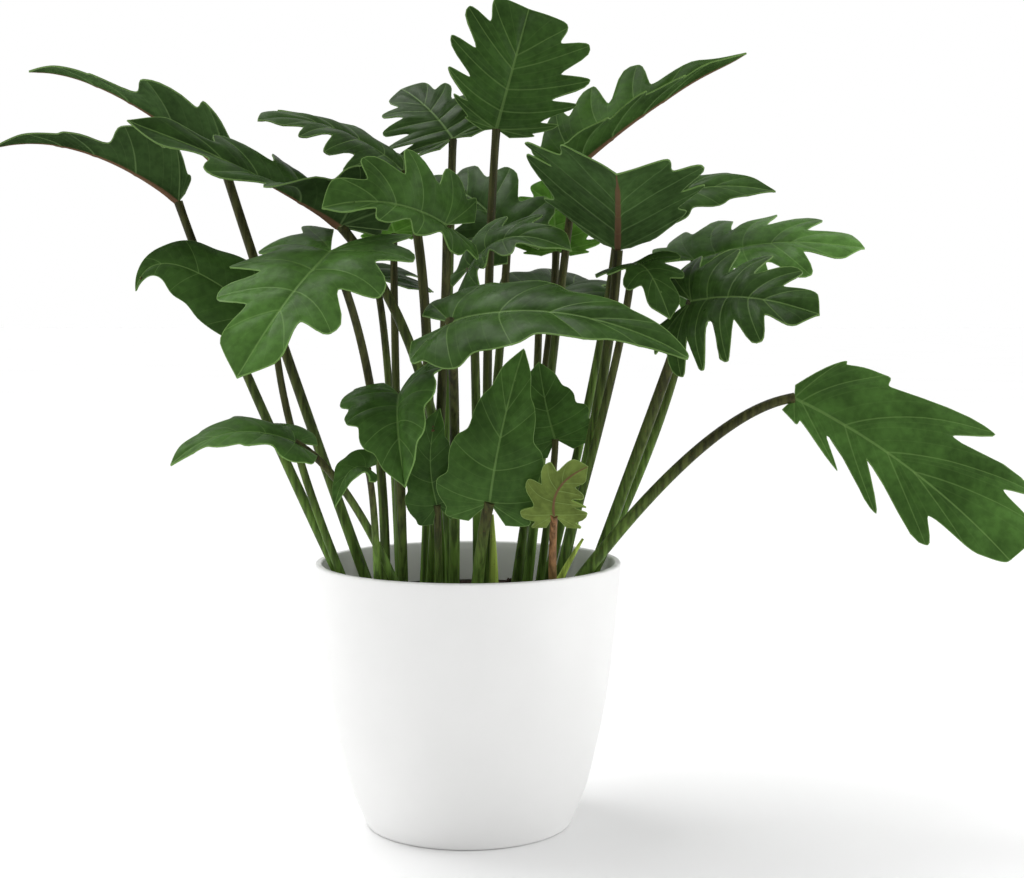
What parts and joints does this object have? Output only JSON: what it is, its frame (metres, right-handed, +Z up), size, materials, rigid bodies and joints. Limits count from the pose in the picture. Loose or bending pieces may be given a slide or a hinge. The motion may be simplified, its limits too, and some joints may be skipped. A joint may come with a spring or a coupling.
{
  "type": "potted philodendron",
  "caption": "Bushy house plant with long-stalked, deeply lobed green leaves, rooted in soil in a plain round tapered white pot that stands on its flat base.",
  "frame": {"origin": "centre of the pot's flat underside, which the part stands on", "axes": "+Z up along the pot's axis; +X to the right and +Y away from the viewer of the picture"},
  "size_m": [0.5876, 0.3325, 0.4997],
  "materials": {
    "white_pot": "satin",
    "dark_soil": "matte",
    "leaf_deep": "satin",
    "leaf_mid": "satin",
    "leaf_fresh": "satin",
    "leaf_lime": "satin",
    "stalk_olive": "satin",
    "shoot_green": "satin"
  },
  "bodies": {
    "root": {"pot": "white_pot", "potting_soil": "dark_soil", "leaf_blade_01": "leaf_deep", "leaf_stalk_01": "stalk_olive", "leaf_blade_02": "leaf_deep", "leaf_stalk_02": "stalk_olive", "leaf_blade_03": "leaf_deep", "leaf_stalk_03": "stalk_olive", "leaf_blade_04": "leaf_mid", "leaf_stalk_04": "stalk_olive", "leaf_blade_05": "leaf_deep", "leaf_stalk_05": "stalk_olive", "leaf_blade_06": "leaf_mid", "leaf_stalk_06": "stalk_olive", "leaf_blade_08": "leaf_deep", "leaf_stalk_08": "stalk_olive", "leaf_blade_10": "leaf_mid", "leaf_stalk_10": "stalk_olive", "leaf_blade_12": "leaf_deep", "leaf_stalk_12": "stalk_olive", "leaf_blade_14": "leaf_mid", "leaf_stalk_14": "stalk_olive", "leaf_blade_15": "leaf_deep", "leaf_stalk_15": "stalk_olive", "leaf_blade_16": "leaf_mid", "leaf_stalk_16": "stalk_olive", "leaf_blade_17": "leaf_mid", "leaf_stalk_17": "stalk_olive", "leaf_blade_18": "leaf_deep", "leaf_stalk_18": "stalk_olive", "leaf_blade_19": "leaf_deep", "leaf_stalk_19": "stalk_olive", "leaf_blade_20": "leaf_mid", "leaf_stalk_20": "stalk_olive", "leaf_blade_21": "leaf_mid", "leaf_stalk_21": "stalk_olive", "leaf_blade_22": "leaf_lime", "leaf_stalk_22": "stalk_olive", "leaf_blade_23": "leaf_deep", "leaf_stalk_23": "stalk_olive", "leaf_blade_24": "leaf_lime", "leaf_stalk_24": "stalk_olive", "leaf_blade_25": "leaf_mid", "leaf_stalk_25": "stalk_olive", "leaf_blade_26": "leaf_mid", "leaf_stalk_26": "stalk_olive", "leaf_blade_28": "leaf_deep", "leaf_stalk_28": "stalk_olive", "leaf_blade_29": "leaf_mid", "leaf_stalk_29": "stalk_olive", "leaf_blade_30": "leaf_lime", "leaf_stalk_30": "stalk_olive", "leaf_blade_31": "leaf_deep", "leaf_stalk_31": "stalk_olive", "young_leaf_1": "leaf_mid", "young_leaf_2": "leaf_lime", "young_leaf_3": "leaf_deep", "young_leaf_4": "leaf_deep", "new_leaf_spear": "shoot_green", "leaf_sheath": "shoot_green"}
  },
  "joints": []
}
